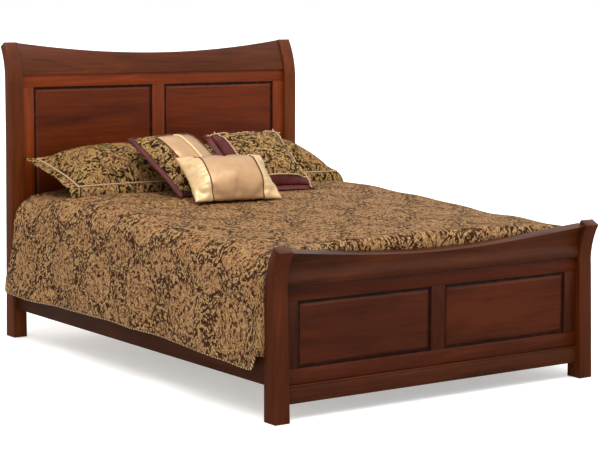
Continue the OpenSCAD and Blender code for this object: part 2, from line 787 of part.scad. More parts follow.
// Places of the pillows: middle, then the lean and the turn in degrees
sham_place_left = [-mattress_w / 4 - 3, inner_y - 272.5, bed_top + 95, 13, -1];
sham_place_right = [mattress_w / 4 + 3, inner_y - 280.5, bed_top + 95, 13, 2];
square_place_left = [-208, inner_y - 565.5, bed_top + 137, 36.5, 15];
square_place_right = [184, inner_y - 597.5, bed_top + 137, 36, -2];
lumbar_place = [-176, inner_y - 880.5, bed_top + 93, 37.5, -9];

module sham(place) { color("olive") pillow([sham_w, sham_h], 104, 98, 45, place); }
module square_pillow(place) { color("goldenrod") pillow([square_w, square_h], 78, 62, 28, place); }
module sham_left() { sham(sham_place_left); }
module sham_right() { sham(sham_place_right); }
module square_pillow_left() { square_pillow(square_place_left); }
module square_pillow_right() { square_pillow(square_place_right); }
module lumbar_pillow() { color("khaki") pillow([lumbar_w, lumbar_h], 66, 56, 0, lumbar_place); }

headboard_post_left();
headboard_post_right();
headboard_crest();
headboard_top_rail();
headboard_bottom_rail();
headboard_stile_left();
headboard_stile_right();
headboard_mullion();
headboard_panel_left();
headboard_panel_right();
footboard_post_left();
footboard_post_right();
footboard_crest();
footboard_top_rail();
footboard_bottom_rail();
footboard_base_rail();
footboard_stile_left();
footboard_stile_right();
footboard_mullion();
footboard_panel_left();
footboard_panel_right();
side_rail_left();
side_rail_right();
slat_ledger_left();
slat_ledger_right();
slat(0);  // slat_1
slat(1);  // slat_2
slat(2);  // slat_3
slat(3);  // slat_4
slat(4);  // slat_5
center_beam();
center_leg(-leg_y);  // center_leg_front
center_leg(leg_y);  // center_leg_rear
leveling_foot(-leg_y);  // leveling_foot_front
leveling_foot(leg_y);  // leveling_foot_rear
leg_inserts();
leg_bolts();
rail_hook_plates();
post_catch_plates();
rail_plate_screws();
post_plate_screws();
ledger_screws();
slat_screws();
post_glides();
box_spring();
mattress();
comforter();
comforter_hem_cord();
sham_left();
sham_right();
square_pillow_left();
square_pillow_right();
lumbar_pillow();
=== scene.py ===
import math

import bpy
import numpy as np
from mathutils import Matrix, Vector


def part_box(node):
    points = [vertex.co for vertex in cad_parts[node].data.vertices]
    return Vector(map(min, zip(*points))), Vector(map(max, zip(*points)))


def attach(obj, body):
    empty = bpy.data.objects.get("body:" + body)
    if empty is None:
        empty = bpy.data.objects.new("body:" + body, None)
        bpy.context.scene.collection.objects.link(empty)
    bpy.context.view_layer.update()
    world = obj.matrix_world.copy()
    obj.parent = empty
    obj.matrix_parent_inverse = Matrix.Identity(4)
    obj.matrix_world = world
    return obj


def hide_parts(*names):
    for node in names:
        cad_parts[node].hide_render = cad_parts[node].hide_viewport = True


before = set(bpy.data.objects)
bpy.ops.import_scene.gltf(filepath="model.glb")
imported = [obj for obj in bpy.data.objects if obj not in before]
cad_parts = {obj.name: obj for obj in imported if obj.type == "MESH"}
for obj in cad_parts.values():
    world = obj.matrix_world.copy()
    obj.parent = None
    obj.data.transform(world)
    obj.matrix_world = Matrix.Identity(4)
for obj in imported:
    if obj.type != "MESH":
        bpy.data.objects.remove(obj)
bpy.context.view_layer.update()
scene = bpy.context.scene
scene.view_settings.view_transform = "Standard"

BODY = {
    "leveling_foot_front": "leveler_front",
    "leveling_foot_rear": "leveler_rear",
}

# Places the soft goods are built from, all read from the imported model
bed_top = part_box("comforter")[1][2]
hem_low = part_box("comforter")[0][2]
foot_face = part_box("footboard_post_left")[1][1]
head_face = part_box("headboard_post_left")[0][1]
mattress_lo, mattress_hi = (Vector(p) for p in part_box("mattress"))
spring_lo, spring_hi = (Vector(p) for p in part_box("box_spring"))
rail_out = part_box("side_rail_right")[1][0]
head_panel_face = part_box("headboard_top_rail")[0][1]
foot_panel_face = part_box("footboard_top_rail")[0][1]


def pick_only(ob):
    bpy.ops.object.select_all(action="DESELECT")
    ob.select_set(True)
    bpy.context.view_layer.objects.active = ob


# ---------------------------------------------------------------- shader groups


class Group:
    """A shader node group that is being laid out."""

    def __init__(self, name, ins, outs):
        self.tree = bpy.data.node_groups.new(name, "ShaderNodeTree")
        for label, kind, value in ins:
            sock = self.tree.interface.new_socket(
                label, in_out="INPUT", socket_type="NodeSocket" + kind
            )
            if value is not None:
                sock.default_value = value
        for label, kind in outs:
            self.tree.interface.new_socket(
                label, in_out="OUTPUT", socket_type="NodeSocket" + kind
            )
        self.ins = self.tree.nodes.new("NodeGroupInput").outputs
        self.outs = self.tree.nodes.new("NodeGroupOutput").inputs

    def node(self, kind, inputs=None, **settings):
        return add_node(self.tree, kind, inputs, **settings)

    def math(self, operation, a, b=0.0, c=0.0):
        return self.node(
            "ShaderNodeMath", {0: a, 1: b, 2: c}, operation=operation
        ).outputs[0]

    def vector(self, operation, a, b=(0, 0, 0)):
        return self.node(
            "ShaderNodeVectorMath", {0: a, 1: b}, operation=operation
        ).outputs[0]

    def mix(self, factor, a, b, blend="MIX"):
        n = self.node(
            "ShaderNodeMix",
            {0: factor, 6: a, 7: b},
            data_type="RGBA",
            blend_type=blend,
        )
        return n.outputs[2]

    def step(self, value, low, high):
        """0 below low, 1 above high, smooth between them."""
        n = self.node(
            "ShaderNodeMapRange",
            {0: value, 1: low, 2: high},
            interpolation_type="SMOOTHSTEP",
        )
        return n.outputs[0]

    def noise(self, vector, scale, detail=3.0, rough=0.5, distort=0.0):
        n = self.node(
            "ShaderNodeTexNoise",
            {
                "Vector": vector,
                "Scale": scale,
                "Detail": detail,
                "Roughness": rough,
                "Distortion": distort,
            },
        )
        return n.outputs["Fac"]

    def cells(self, vector, scale):
        n = self.node("ShaderNodeTexVoronoi", feature="DISTANCE_TO_EDGE")
        self.tree.links.new(vector, n.inputs["Vector"])
        n.inputs["Scale"].default_value = scale
        return n.outputs["Distance"]


def add_node(tree, kind, inputs=None, **settings):
    n = tree.nodes.new(kind)
    for key, value in settings.items():
        setattr(n, key, value)
    for key, value in (inputs or {}).items():
        if isinstance(value, bpy.types.NodeSocket):
            tree.links.new(value, n.inputs[key])
        else:
            n.inputs[key].default_value = value
    return n


def paint(r, g, b):
    """A colour as the shader wants it, from the shade that the eye sees."""
    return tuple(
        (c / 12.92 if c <= 0.04045 else ((c + 0.055) / 1.055) ** 2.4)
        for c in (r / 255, g / 255, b / 255)
    ) + (1.0,)


def cherry_grain():
    """Stained cherry. The grain runs along X of the vector."""
    g = Group(
        "Cherry grain",
        [
            ("Vector", "Vector", None),
            ("Dark", "Color", paint(62, 26, 12)),
            ("Mid", "Color", paint(92, 40, 19)),
            ("Light", "Color", paint(122, 56, 28)),
            ("Board", "Float", 0.5),
        ],
        [("Color", "Color"), ("Roughness", "Float"), ("Height", "Float")],
    )
    p = g.ins["Vector"]
    # broad figure: flames that wander along the board
    broad = g.vector("MULTIPLY", p, (1.6, 9.0, 9.0))
    flame = g.noise(broad, 1.0, 4.0, 0.55, 0.9)
    # boards glued edge to edge, each a little lighter or darker
    boards = g.vector("MULTIPLY", p, (0.7, 6.5, 6.5))
    board = g.noise(g.vector("ADD", boards, (3.1, 7.7, 1.3)), 1.0, 0.0, 0.5)
    # fine streaks and pores
    streak = g.noise(g.vector("MULTIPLY", p, (4.0, 90.0, 90.0)), 1.0, 5.0, 0.6)
    pore = g.noise(g.vector("MULTIPLY", p, (24.0, 620.0, 620.0)), 1.0, 2.0, 0.5)
    tone = g.math("MULTIPLY_ADD", flame, 1.25, -0.27)
    tone = g.math("ADD", tone, g.math("MULTIPLY_ADD", streak, 0.9, -0.45))
    tone = g.math(
        "ADD", tone, g.math("MULTIPLY", g.math("SUBTRACT", board, 0.5), g.ins["Board"])
    )
    low = g.mix(g.step(tone, 0.0, 0.35), g.ins["Dark"], g.ins["Mid"])
    wood = g.mix(g.step(tone, 0.3, 0.72), low, g.ins["Light"])
    pores = g.step(pore, 0.36, 0.30)
    wood = g.mix(g.math("MULTIPLY", pores, 0.35), wood, g.ins["Dark"])
    # rubbed finish: soft clouding of the gloss
    cloud = g.noise(p, 14.0, 3.0, 0.6)
    rough = g.math("MULTIPLY_ADD", cloud, 0.16, 0.25)
    rough = g.math("ADD", rough, g.math("MULTIPLY", pores, 0.12))
    height = g.math("MULTIPLY_ADD", pores, -0.5, streak)
    for label, value in (("Color", wood), ("Roughness", rough), ("Height", height)):
        g.tree.links.new(value, g.outs[label])
    return g.tree


def groove_darkening():
    """Darkening in the sunk margin of a panel, 0 on its face and 1 in the groove."""
    g = Group(
        "Groove darkening",
        [("Vector", "Vector", None), ("Face", "Float", 0.0)],
        [("Darkening", "Float")],
    )
    y = g.node("ShaderNodeSeparateXYZ", {0: g.ins["Vector"]}).outputs[1]
    depth = g.math("SUBTRACT", y, g.ins["Face"])
    ragged = g.math("MULTIPLY", g.noise(g.ins["Vector"], 30.0, 3.0), 0.003)
    sunk = g.step(g.math("ADD", depth, ragged), 0.0068, 0.0092)
    # the back of the panel is not darkened
    sunk = g.math("MULTIPLY", sunk, g.step(depth, 0.0125, 0.0120))
    g.tree.links.new(sunk, g.outs["Darkening"])
    return g.tree


def damask_weave():
    """Jacquard damask on a vector in metres: teardrop medallions in rows that step by half, with a
    broken dark outline, and curling leaves that lie closer inside them than round them."""
    g = Group(
        "Damask weave",
        [
            ("Vector", "Vector", None),
            ("Ground", "Color", paint(50, 27, 15)),
            ("Leaf", "Color", paint(176, 150, 92)),
            ("Flower", "Color", paint(158, 118, 88)),
            ("Width", "Float", 0.34),
            ("Height", "Float", 0.30),
        ],
        [("Color", "Color"), ("Raised", "Float"), ("Thread", "Float")],
    )
    p = g.ins["Vector"]

    def swayed(v, scale, amount, detail=1.0):
        n = g.node("ShaderNodeTexNoise", {"Vector": v, "Scale": scale, "Detail": detail})
        off = g.vector("SUBTRACT", n.outputs["Color"], (0.5, 0.5, 0.5))
        part = g.node("ShaderNodeVectorMath", {0: off, 3: amount}, operation="SCALE")
        return g.vector("ADD", v, part.outputs[0])

    q = swayed(swayed(p, 9.0, 0.034), 34.0, 0.016)
    xyz = g.node("ShaderNodeSeparateXYZ", {0: q}).outputs
    x = g.math("DIVIDE", xyz[0], g.ins["Width"])
    y = g.math("DIVIDE", xyz[1], g.ins["Height"])
    tau = 2 * math.pi
    wave_x = g.math("COSINE", g.math("MULTIPLY", x, tau))
    # bending y inside its own wave turns the diamonds into teardrops
    y_turn = g.math("MULTIPLY", y, tau)
    bent = g.math("ADD", y_turn, g.math("MULTIPLY", g.math("SINE", y_turn), 0.6))
    field = g.math("ADD", wave_x, g.math("COSINE", bent))
    size = g.math("ABSOLUTE", field)
    # curling leaves and petals: the contour lines of two uneven fields, one wide and one narrow
    wide = g.math("SINE", g.math("MULTIPLY", g.noise(q, 23.0, 1.0, 0.5), 27.0))
    narrow = g.math("SINE", g.math("MULTIPLY", g.noise(q, 60.0, 1.0, 0.5), 19.0))
    scroll = g.math("ADD", g.math("MULTIPLY", wide, 0.55), g.math("MULTIPLY", narrow, 0.60))
    petal = g.step(g.cells(q, 84.0), 0.02, 0.12)
    dense = g.step(size, 0.50, 0.80)
    outline = g.math("MULTIPLY", g.step(size, 0.44, 0.52), g.step(size, 0.66, 0.58))
    broken = g.step(g.noise(q, 24.0, 2.0), 0.40, 0.56)
    # more thread shows inside a medallion than round it
    share = g.math("MULTIPLY_ADD", dense, 0.52, -0.16)
    motif = g.step(g.math("ADD", scroll, share), -0.42, 0.22)
    motif = g.math("MULTIPLY", motif, g.math("MULTIPLY_ADD", petal, 0.7, 0.3))
    figure = g.math("MULTIPLY", motif, g.math("SUBTRACT", 1.0, g.math("MULTIPLY", outline, broken)))
    thread = g.noise(g.vector("MULTIPLY", p, (900.0, 1400.0, 1.0)), 1.0, 1.0)
    patch = g.noise(p, 42.0, 3.0, 0.65)
    bright = g.step(g.math("ADD", wide, narrow), 0.1, 1.5)
    cloth = g.mix(dense, g.ins["Leaf"], g.mix(bright, g.ins["Flower"], g.ins["Leaf"]))
    cloth = g.mix(g.step(patch, 0.42, 0.60), cloth, g.mix(0.6, cloth, g.ins["Leaf"]))
    worn = g.math("MULTIPLY", g.step(thread, 0.3, 0.75), 0.3)
    cloth = g.mix(worn, cloth, g.mix(0.6, cloth, g.ins["Ground"]))
    colour = g.mix(figure, g.ins["Ground"], cloth)
    for label, value in (("Color", colour), ("Raised", figure), ("Thread", thread)):
        g.tree.links.new(value, g.outs[label])
    return g.tree


def cloth_weave():
    """Crossed threads and soft crumple for plain cloth, on a vector in metres."""
    g = Group(
        "Plain weave",
        [("Vector", "Vector", None), ("Threads", "Float", 900.0), ("Crumple", "Float", 1.0)],
        [("Height", "Float"), ("Tone", "Float")],
    )
    p = g.ins["Vector"]
    scaled = g.node("ShaderNodeVectorMath", {0: p, 3: g.ins["Threads"]}, operation="SCALE").outputs[0]
    xyz = g.node("ShaderNodeSeparateXYZ", {0: scaled}).outputs
    weave = g.math("MULTIPLY", g.math("SINE", xyz[0]), g.math("SINE", xyz[1]))
    crumple = g.noise(p, 18.0, 4.0, 0.55, 0.4)
    height = g.math("ADD", g.math("MULTIPLY", weave, 0.06), g.math("MULTIPLY", crumple, g.ins["Crumple"]))
    g.tree.links.new(height, g.outs["Height"])
    # the crumple is also the tone that plain cloth darkens in its hollows, as painted shade
    g.tree.links.new(crumple, g.outs["Tone"])
    return g.tree


CHERRY = cherry_grain()
GROOVE_DARKENING = groove_darkening()
DAMASK = damask_weave()
WEAVE = cloth_weave()

# ---------------------------------------------------------------- finishes


def new_finish(name):
    m = bpy.data.materials.new(name)
    m.use_nodes = True
    tree = m.node_tree
    return m, tree, tree.nodes["Principled BSDF"]


def use_group(tree, group, inputs):
    n = tree.nodes.new("ShaderNodeGroup")
    n.node_tree = group
    for key, value in inputs.items():
        if isinstance(value, bpy.types.NodeSocket):
            tree.links.new(value, n.inputs[key])
        else:
            n.inputs[key].default_value = value
    return n.outputs


def bump(tree, shader, height, distance, strength=1.0):
    n = add_node(tree, "ShaderNodeBump", {"Height": height, "Distance": distance, "Strength": strength})
    tree.links.new(n.outputs[0], shader.inputs["Normal"])


def stained(r, g, b):
    """The dark, middle and light tones of a stained board, from the middle one."""
    mid = paint(r, g, b)
    return (
        tuple(c * 0.6 for c in mid[:3]) + (1.0,),
        mid,
        tuple(c * 1.5 for c in mid[:3]) + (1.0,),
    )


def cherry(name, along, tones, board=0.5, face=None, gloss=0.04):
    """Wood with its grain along one axis. A panel's groove darkening is measured from the plane face."""
    m, tree, shader = new_finish(name)
    place = tree.nodes.new("ShaderNodeTexCoord").outputs["Object"]
    turn = {"x": (0, 0, 0), "y": (0, 0, math.pi / 2), "z": (0, math.pi / 2, 0)}[along]
    lay = add_node(tree, "ShaderNodeMapping", {"Vector": place, "Rotation": turn})
    out = use_group(
        tree, CHERRY,
        {"Vector": lay.outputs[0], "Dark": tones[0], "Mid": tones[1], "Light": tones[2],
         "Board": board},
    )
    colour = out["Color"]
    if face is not None:
        # the sunk margin round the panel is darkened towards a dark brown
        groove_dark = use_group(tree, GROOVE_DARKENING, {"Vector": place, "Face": face})["Darkening"]
        shade = add_node(
            tree, "ShaderNodeMix", {0: groove_dark, 6: colour, 7: paint(30, 12, 6)}, data_type="RGBA"
        )
        colour = shade.outputs[2]
    tree.links.new(colour, shader.inputs["Base Color"])
    tree.links.new(out["Roughness"], shader.inputs["Roughness"])
    shader.inputs["Coat Weight"].default_value = gloss
    shader.inputs["Coat Roughness"].default_value = 0.25
    shader.inputs["Specular IOR Level"].default_value = 0.2
    bump(tree, shader, out["Height"], 0.00025, 0.5)
    return m


def own_map(tree):
    return tree.nodes.new("ShaderNodeTexCoord").outputs["UV"]


def damask(name, ground, leaf, flower, width=0.34, height=0.30):
    m, tree, shader = new_finish(name)
    out = use_group(
        tree, DAMASK,
        {"Vector": own_map(tree), "Ground": ground, "Leaf": leaf, "Flower": flower,
         "Width": width, "Height": height},
    )
    tree.links.new(out["Color"], shader.inputs["Base Color"])
    rough = add_node(tree, "ShaderNodeMath", {0: out["Raised"], 1: -0.2, 2: 0.85}, operation="MULTIPLY_ADD")
    tree.links.new(rough.outputs[0], shader.inputs["Roughness"])
    shader.inputs["Specular IOR Level"].default_value = 0.1
    lift = add_node(
        tree, "ShaderNodeMath", {0: out["Thread"], 1: 0.35, 2: out["Raised"]}, operation="MULTIPLY_ADD"
    )
    bump(tree, shader, lift.outputs[0], 0.0008, 0.8)
    return m


def plain_cloth(name, colour, hollow_shade, rough, threads=900.0, sheen=0.3, crumple=1.0, lift=0.0012, shine=0.0):
    m, tree, shader = new_finish(name)
    out = use_group(tree, WEAVE, {"Vector": own_map(tree), "Threads": threads, "Crumple": crumple})
    # The colour runs to the darker one where the crumple bump is low: painted shade in the hollows of the
    # crumple.
    shade = add_node(tree, "ShaderNodeMix", {0: out["Tone"], 6: hollow_shade, 7: colour}, data_type="RGBA")
    tree.links.new(shade.outputs[2], shader.inputs["Base Color"])
    cloud = add_node(
        tree, "ShaderNodeMath", {0: out["Tone"], 1: 0.15, 2: rough - 0.07}, operation="MULTIPLY_ADD"
    )
    tree.links.new(cloud.outputs[0], shader.inputs["Roughness"])
    shader.inputs["Sheen Weight"].default_value = sheen
    shader.inputs["Sheen Roughness"].default_value = 0.35
    shader.inputs["Metallic"].default_value = shine
    bump(tree, shader, out["Height"], lift, 0.7)
    return m


def twisted(name, crown_colour_and_highlight, hollow_shade):
    """Twisted cord, on its own map: across is round the cord and along is in metres."""
    m, tree, shader = new_finish(name)
    uv = add_node(tree, "ShaderNodeSeparateXYZ", {0: own_map(tree)}).outputs
    along = add_node(
        tree, "ShaderNodeMath", {0: uv[1], 1: 393.0, 2: 0.0}, operation="MULTIPLY_ADD"
    ).outputs[0]
    turn = add_node(
        tree, "ShaderNodeMath", {0: uv[0], 1: 4 * math.pi, 2: along}, operation="MULTIPLY_ADD"
    ).outputs[0]
    ply = add_node(tree, "ShaderNodeMath", {0: turn}, operation="SINE").outputs[0]
    # The colour follows the twist: the cord's colour with painted highlight on the crown of each ply and
    # painted shade between the plies.
    mask = add_node(
        tree, "ShaderNodeMapRange", {0: ply, 1: -0.9, 2: 0.5}, interpolation_type="SMOOTHSTEP"
    ).outputs[0]
    shade = add_node(tree, "ShaderNodeMix", {0: mask, 6: hollow_shade, 7: crown_colour_and_highlight}, data_type="RGBA")
    tree.links.new(shade.outputs[2], shader.inputs["Base Color"])
    rough = add_node(tree, "ShaderNodeMath", {0: mask, 1: -0.2, 2: 0.7}, operation="MULTIPLY_ADD")
    tree.links.new(rough.outputs[0], shader.inputs["Roughness"])
    bump(tree, shader, mask, 0.001, 0.8)
    return m


def metal(name, colour, rough, brushed=60.0):
    m, tree, shader = new_finish(name)
    place = tree.nodes.new("ShaderNodeTexCoord").outputs["Object"]
    lay = add_node(tree, "ShaderNodeMapping", {"Vector": place, "Scale": (brushed, brushed, 900.0)})
    scratch = add_node(
        tree, "ShaderNodeTexNoise", {"Vector": lay.outputs[0], "Scale": 1.0, "Detail": 3.0}
    ).outputs["Fac"]
    shade = add_node(
        tree, "ShaderNodeMix", {0: scratch, 6: tuple(c * 0.75 for c in colour[:3]) + (1.0,), 7: colour},
        data_type="RGBA"
    )
    tree.links.new(shade.outputs[2], shader.inputs["Base Color"])
    gloss = add_node(tree, "ShaderNodeMath", {0: scratch, 1: 0.2, 2: rough - 0.1}, operation="MULTIPLY_ADD")
    tree.links.new(gloss.outputs[0], shader.inputs["Roughness"])
    shader.inputs["Metallic"].default_value = 1.0
    bump(tree, shader, scratch, 0.0001, 0.5)
    return m


def nylon(name):
    m, tree, shader = new_finish(name)
    place = tree.nodes.new("ShaderNodeTexCoord").outputs["Object"]
    grain = add_node(
        tree, "ShaderNodeTexNoise", {"Vector": place, "Scale": 900.0, "Detail": 2.0}
    ).outputs["Fac"]
    shade = add_node(
        tree, "ShaderNodeMix", {0: grain, 6: paint(24, 24, 24), 7: paint(44, 43, 42)}, data_type="RGBA"
    )
    tree.links.new(shade.outputs[2], shader.inputs["Base Color"])
    shader.inputs["Roughness"].default_value = 0.55
    bump(tree, shader, grain, 0.0002, 0.5)
    return m


# The headboard's woods are painted lighter and the footboard's painted darker: the cherry stain with
# painted light on the headboard and painted shade on the footboard.
HEAD_POST_WOOD_PAINTED_LIGHT = cherry("Cherry, headboard posts, painted light", "z", stained(92, 42, 15), 0.3)
FOOT_POST_WOOD_PAINTED_SHADE = cherry("Cherry, footboard posts, painted shade", "z", stained(74, 30, 7), 0.3)
HEAD_RAIL_WOOD_PAINTED_LIGHT = cherry("Cherry, headboard rails, painted light", "x", stained(119, 49, 16), 0.35)
HEAD_STILE_WOOD_PAINTED_LIGHT = cherry("Cherry, headboard stiles, painted light", "z", stained(115, 47, 15), 0.35)
FOOT_RAIL_WOOD_PAINTED_SHADE = cherry("Cherry, footboard rails, painted shade", "x", stained(67, 25, 6), 0.35)
FOOT_STILE_WOOD_PAINTED_SHADE = cherry("Cherry, footboard stiles, painted shade", "z", stained(59, 22, 6), 0.35)
HEAD_CREST_WOOD_PAINTED_LIGHT = cherry("Cherry, headboard crest, painted light", "x", stained(82, 37, 13), 0.3)
FOOT_CREST_WOOD_PAINTED_SHADE = cherry("Cherry, footboard crest, painted shade", "x", stained(65, 28, 8), 0.3)
SIDE_WOOD = cherry("Cherry, side rails", "y", stained(63, 29, 9), 0.3)
HEAD_PANEL_WOOD_PAINTED_LIGHT = cherry("Cherry, headboard panels, painted light", "x", stained(89, 34, 7), 0.8, head_panel_face)
FOOT_PANEL_WOOD_PAINTED_SHADE = cherry("Cherry, footboard panels, painted shade", "x", stained(66, 25, 6), 0.8, foot_panel_face)
PINE_TONES = (paint(168, 128, 78), paint(198, 160, 106), paint(220, 186, 134))
PINE = cherry("Pine, slats", "y", PINE_TONES, 0.4, None, 0.0)
PINE_ACROSS = cherry("Pine, cross slats", "x", PINE_TONES, 0.4, None, 0.0)
PINE_UPRIGHT = cherry("Pine, legs", "z", PINE_TONES, 0.4, None, 0.0)
STEEL = metal("Zinc plated steel", paint(176, 176, 180), 0.38)
SCREW = metal("Screw steel", paint(190, 184, 168), 0.34)
BRASS = metal("Turned brass", paint(196, 156, 84), 0.32)
NYLON = nylon("Moulded nylon")
COVER_CLOTH = damask("Damask, comforter", paint(58, 30, 17), paint(180, 143, 95), paint(156, 110, 72))
SHAM_CLOTH = damask(
    "Damask, shams", paint(44, 22, 11), paint(174, 142, 82), paint(156, 110, 74), 0.28, 0.25
)
BORDER_CLOTH = damask(
    "Damask, small repeat", paint(44, 22, 11), paint(182, 150, 92), paint(160, 114, 78), 0.2, 0.18
)
BURGUNDY = plain_cloth("Burgundy satin", paint(108, 24, 17), paint(52, 9, 7), 0.6, 700.0, 0.0)
GOLD = plain_cloth(
    "Gold satin", paint(206, 168, 126), paint(176, 132, 90), 0.34, 1200.0, 0.1, 0.8, 0.002, 0.35
)
CREAM = plain_cloth(
    "Gathered cream satin", paint(232, 204, 158), paint(204, 164, 112), 0.36, 1200.0, 0.1, 1.0, 0.003, 0.25
)
RIBBON = plain_cloth("Pale ribbon", paint(238, 214, 170), paint(216, 182, 132), 0.32, 1400.0, 0.5, 0.5)
PALE_CORD = twisted("Pale twisted cord", paint(214, 178, 142), paint(140, 98, 70))
DARK_CORD = twisted("Dark piping", paint(110, 72, 44), paint(50, 30, 20))
HEM_CORD = twisted("Hem cord", paint(206, 172, 124), paint(60, 34, 20))
TICKING = plain_cloth("Beige ticking", paint(206, 196, 174), paint(186, 174, 150), 0.8, 700.0, 0.1)
QUILTING = plain_cloth(
    "White ticking", paint(232, 226, 212), paint(214, 206, 190), 0.78, 700.0, 0.1, 1.4, 0.003
)

# ---------------------------------------------------------------- joinery and hardware


def finished_copy(node, finish, edge=0.0015, smooth=32):
    """A merged copy of a CAD piece with its edges eased, which stands for it."""
    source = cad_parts[node]
    ob = bpy.data.objects.new(node + "_finished", source.data.copy())
    bpy.context.collection.objects.link(ob)
    ob.data.materials.clear()
    ob.data.materials.append(finish)
    pick_only(ob)
    bpy.ops.object.mode_set(mode="EDIT")
    bpy.ops.mesh.select_all(action="SELECT")
    bpy.ops.mesh.remove_doubles(threshold=0.00002)
    bpy.ops.mesh.dissolve_limited(angle_limit=math.radians(0.3))
    bpy.ops.object.mode_set(mode="OBJECT")
    if edge:
        ease = ob.modifiers.new("Eased edges", "BEVEL")
        ease.width = edge
        ease.segments = 2
        ease.limit_method = "ANGLE"
        ease.angle_limit = math.radians(smooth)
        bpy.ops.object.modifier_apply(modifier=ease.name)
    bpy.ops.object.shade_smooth_by_angle(angle=math.radians(smooth))
    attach(ob, BODY.get(node, "bed"))
    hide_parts(node)
    return ob


# Headboard pieces take the woods with painted light, footboard pieces the woods with painted shade.
WOODS = {
    "headboard": {
        "post": HEAD_POST_WOOD_PAINTED_LIGHT, "stile": HEAD_STILE_WOOD_PAINTED_LIGHT,
        "rail": HEAD_RAIL_WOOD_PAINTED_LIGHT, "crest": HEAD_CREST_WOOD_PAINTED_LIGHT,
    },
    "footboard": {
        "post": FOOT_POST_WOOD_PAINTED_SHADE, "stile": FOOT_STILE_WOOD_PAINTED_SHADE,
        "rail": FOOT_RAIL_WOOD_PAINTED_SHADE, "crest": FOOT_CREST_WOOD_PAINTED_SHADE,
    },
}
for side in ("left", "right"):
    for board in ("headboard", "footboard"):
        finished_copy(f"{board}_post_{side}", WOODS[board]["post"], 0.003)
        finished_copy(f"{board}_stile_{side}", WOODS[board]["stile"], 0.0012)
    finished_copy(f"headboard_panel_{side}", HEAD_PANEL_WOOD_PAINTED_LIGHT, 0.001, 12)
    finished_copy(f"footboard_panel_{side}", FOOT_PANEL_WOOD_PAINTED_SHADE, 0.001, 12)
    finished_copy(f"side_rail_{side}", SIDE_WOOD, 0.002)
    finished_copy(f"slat_ledger_{side}", PINE, 0.001)
for board in ("headboard", "footboard"):
    finished_copy(f"{board}_crest", WOODS[board]["crest"], 0.0025)
    finished_copy(f"{board}_top_rail", WOODS[board]["rail"], 0.0012)
    finished_copy(f"{board}_bottom_rail", WOODS[board]["rail"], 0.0012)
    finished_copy(f"{board}_mullion", WOODS[board]["stile"], 0.0012)
finished_copy("footboard_base_rail", FOOT_CREST_WOOD_PAINTED_SHADE, 0.0012)
for n in range(1, 6):
    finished_copy(f"slat_{n}", PINE_ACROSS, 0.001)
finished_copy("center_beam", PINE, 0.0015)
for end in ("front", "rear"):
    finished_copy(f"center_leg_{end}", PINE_UPRIGHT, 0.0015)
    finished_copy(f"leveling_foot_{end}", NYLON, 0.0006)
finished_copy("leg_inserts", BRASS, 0.0003)
finished_copy("leg_bolts", SCREW, 0.0004)
for plates in ("rail_hook_plates", "post_catch_plates"):
    finished_copy(plates, STEEL, 0.0004)
for screws in ("rail_plate_screws", "post_plate_screws", "ledger_screws", "slat_screws"):
    finished_copy(screws, SCREW, 0.0003)
finished_copy("post_glides", NYLON, 0.0004)

# ---------------------------------------------------------------- bedding


def smoothstep(v, low, high):
    t = np.clip((v - low) / (high - low), 0, 1)
    return t * t * (3 - 2 * t)


def cloth_piece(name, points, faces, finishes, maps=None, face_finish=None):
    """A mesh from points and faces, with its own map in metres, one place for each point."""
    mesh = bpy.data.meshes.new(name)
    mesh.from_pydata([tuple(p) for p in points], [], [tuple(int(i) for i in f) for f in faces])
    ob = bpy.data.objects.new(name, mesh)
    bpy.context.collection.objects.link(ob)
    for f in finishes:
        mesh.materials.append(f)
    if face_finish is not None:
        mesh.polygons.foreach_set("material_index", np.asarray(face_finish, dtype=np.int32))
    if maps is not None:
        layer = mesh.uv_layers.new(name="cloth")
        loops = np.empty(len(mesh.loops), dtype=np.int32)
        mesh.loops.foreach_get("vertex_index", loops)
        layer.data.foreach_set("uv", np.asarray(maps, dtype=np.float32)[loops].ravel())
    mesh.polygons.foreach_set("use_smooth", np.ones(len(mesh.polygons), dtype=bool))
    mesh.update()
    return ob


def grid_faces(rows, columns, start=0, flip=False):
    out = []
    for i in range(rows - 1):
        for j in range(columns - 1):
            a = start + i * columns + j
            f = (a, a + 1, a + columns + 1, a + columns)
            out.append(f[::-1] if flip else f)
    return out


def apply_all(ob):
    pick_only(ob)
    for m in list(ob.modifiers):
        bpy.ops.object.modifier_apply(modifier=m.name)


def waves(v, seed, parts):
    """A sum of slow waves, each with its own length, height and seeded start."""
    rng = np.random.default_rng(seed)
    total = 0.0
    for length, height in parts:
        total = total + height * np.sin(2 * math.pi * v / length + rng.uniform(0, 2 * math.pi))
    return total


def sag(x, y):
    """How far the bed's top is below its highest line: the foot end is softer and lower."""
    along = 0.050 * smoothstep(-y, -0.55, 0.70) + 0.018 * smoothstep(-y, 0.70, 0.99)
    side = np.clip(np.abs(x) / 0.74, 0, 1)
    return along * (0.62 + 0.38 * side**2) + 0.030 * smoothstep(y, 0.55, 1.0) * side**4


def top_z(x, y):
    """Top of the comforter over the mattress."""
    ripple = waves(x + 0.35 * y, 3, ((0.62, 0.0022), (0.37, 0.0016))) + waves(
        y - 0.2 * x, 5, ((0.71, 0.0028), (0.33, 0.0018))
    )
    return bed_top - 0.004 - 0.006 * (x / 0.74) ** 2 - sag(x, y) + ripple


